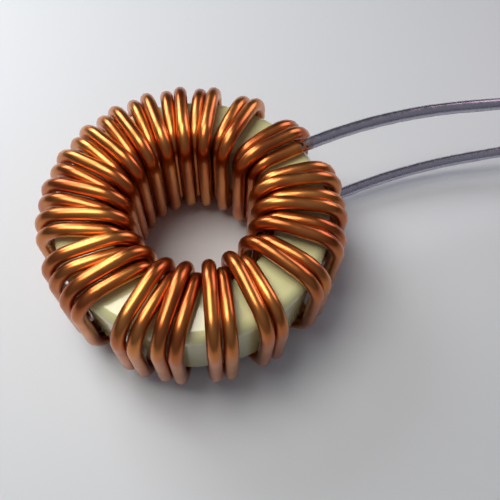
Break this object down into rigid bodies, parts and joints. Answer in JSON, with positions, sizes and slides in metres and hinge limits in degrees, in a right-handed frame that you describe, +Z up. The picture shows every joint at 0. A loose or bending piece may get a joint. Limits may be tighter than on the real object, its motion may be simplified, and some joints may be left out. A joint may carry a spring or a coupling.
{
  "type": "toroidal inductor",
  "caption": "Toroidal inductor: a coated powder ring wound with thick enamelled copper wire, with two tinned leads that curve out to one side.",
  "frame": {"origin": "on the ring's axis, at the level of the lowest bends of the wire, on which the part rests", "axes": "+X along the straight ends of the leads, +Z up along the ring's axis"},
  "size_m": [0.0658, 0.0374, 0.017],
  "materials": {
    "ring_coat": "gloss",
    "enamelled_copper": "gloss",
    "solder_tin": "satin"
  },
  "bodies": {
    "root": {"core": "ring_coat", "winding": "enamelled_copper", "lower_lead": "solder_tin", "upper_lead": "solder_tin"}
  },
  "joints": []
}
